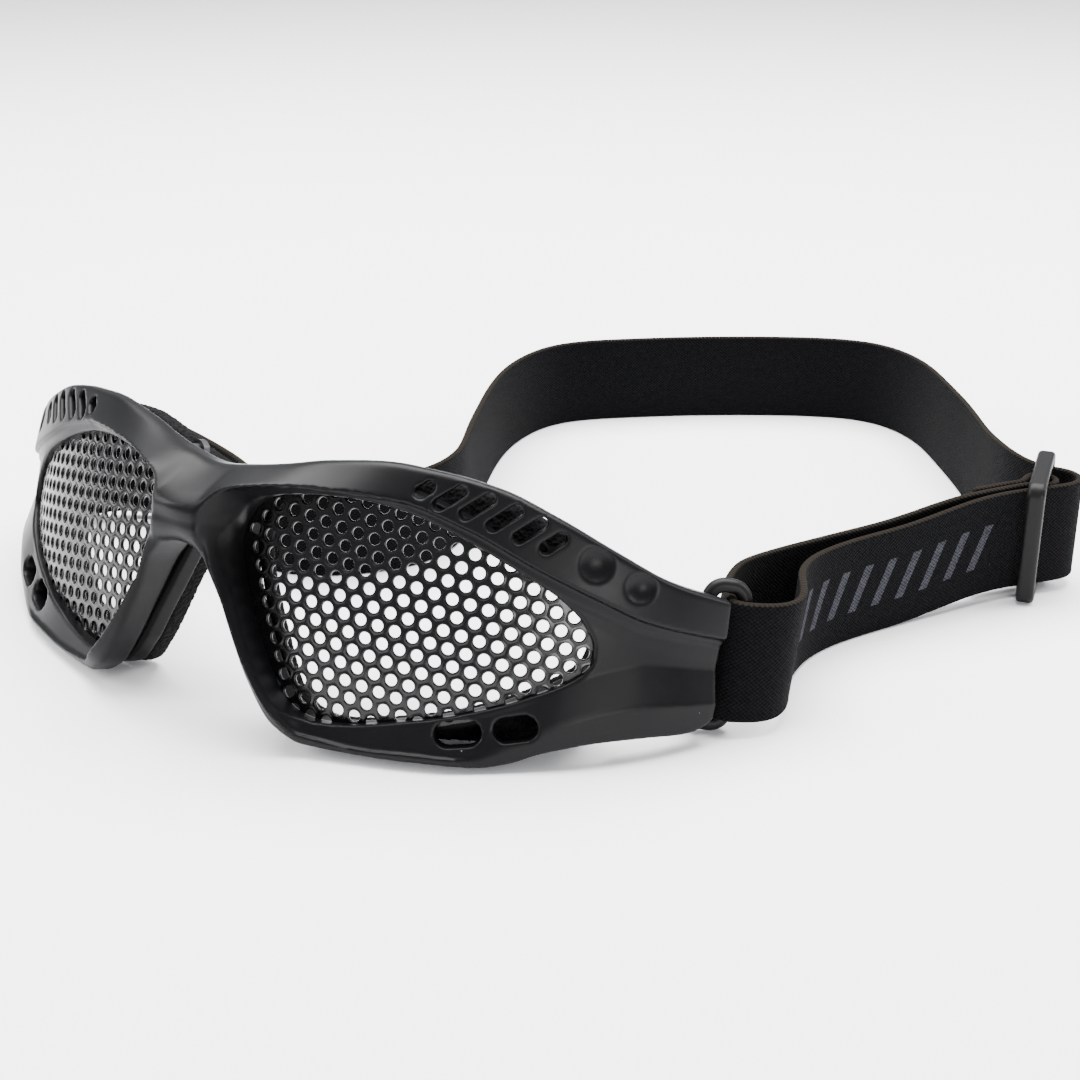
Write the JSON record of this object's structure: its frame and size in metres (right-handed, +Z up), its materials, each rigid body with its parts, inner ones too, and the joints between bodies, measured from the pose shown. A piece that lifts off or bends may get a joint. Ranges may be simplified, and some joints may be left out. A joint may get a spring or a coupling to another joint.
{
  "type": "sports protective goggles",
  "caption": "Wraparound protective goggles with perforated steel lenses in a vented black frame and an elastic head strap.",
  "frame": {"origin": "middle of the footprint on the surface that the goggles stand on", "axes": "+Z up, the lenses face -Y, the strap runs back along +Y, the wearer's left is +X"},
  "size_m": [0.187, 0.2016, 0.0457],
  "materials": {
    "frame_plastic": "matte black moulded, fine grain",
    "lens_steel": "gloss black paint",
    "retainer_plastic": "satin black",
    "screw_steel": "black oxide",
    "foam": "open-cell foam",
    "loop_plastic": "satin black",
    "elastic": "woven elastic",
    "slider_plastic": "satin black",
    "thread": "twisted thread"
  },
  "bodies": {
    "frame": {"front_frame": "frame_plastic", "mesh_lens_left": "lens_steel", "mesh_lens_right": "lens_steel", "lens_retainer_left": "retainer_plastic", "lens_retainer_right": "retainer_plastic", "retainer_screws_left": "screw_steel", "retainer_screws_right": "screw_steel", "foam_gasket_left": "foam", "foam_gasket_right": "foam", "head_strap": "elastic", "anchor_end_stitching": "thread"},
    "slider": {"strap_slider": "slider_plastic", "slider_end_stitching": "thread"},
    "loop_left": {"strap_loop_left": "loop_plastic"},
    "loop_right": {"strap_loop_right": "loop_plastic"}
  },
  "joints": [
    {"name": "slider_slide", "type": "slide", "parent": "frame", "child": "slider", "axis": [-0.5269, -0.8499, 0], "range_m": [-0.006, 0.022], "deforming": ["head_strap"]},
    {"name": "loop_left_swivel", "type": "hinge", "parent": "frame", "child": "loop_left", "pos_m": [0.05881, -0.0535, 0.01321], "axis": [0, 0.3007, 0.9537], "range_deg": [-12, 35], "deforming": ["head_strap"]},
    {"name": "loop_right_swivel", "type": "hinge", "parent": "frame", "child": "loop_right", "pos_m": [-0.08559, -0.0535, 0.01321], "axis": [0, 0.3007, 0.9537], "range_deg": [-35, 12], "deforming": ["head_strap"]}
  ]
}
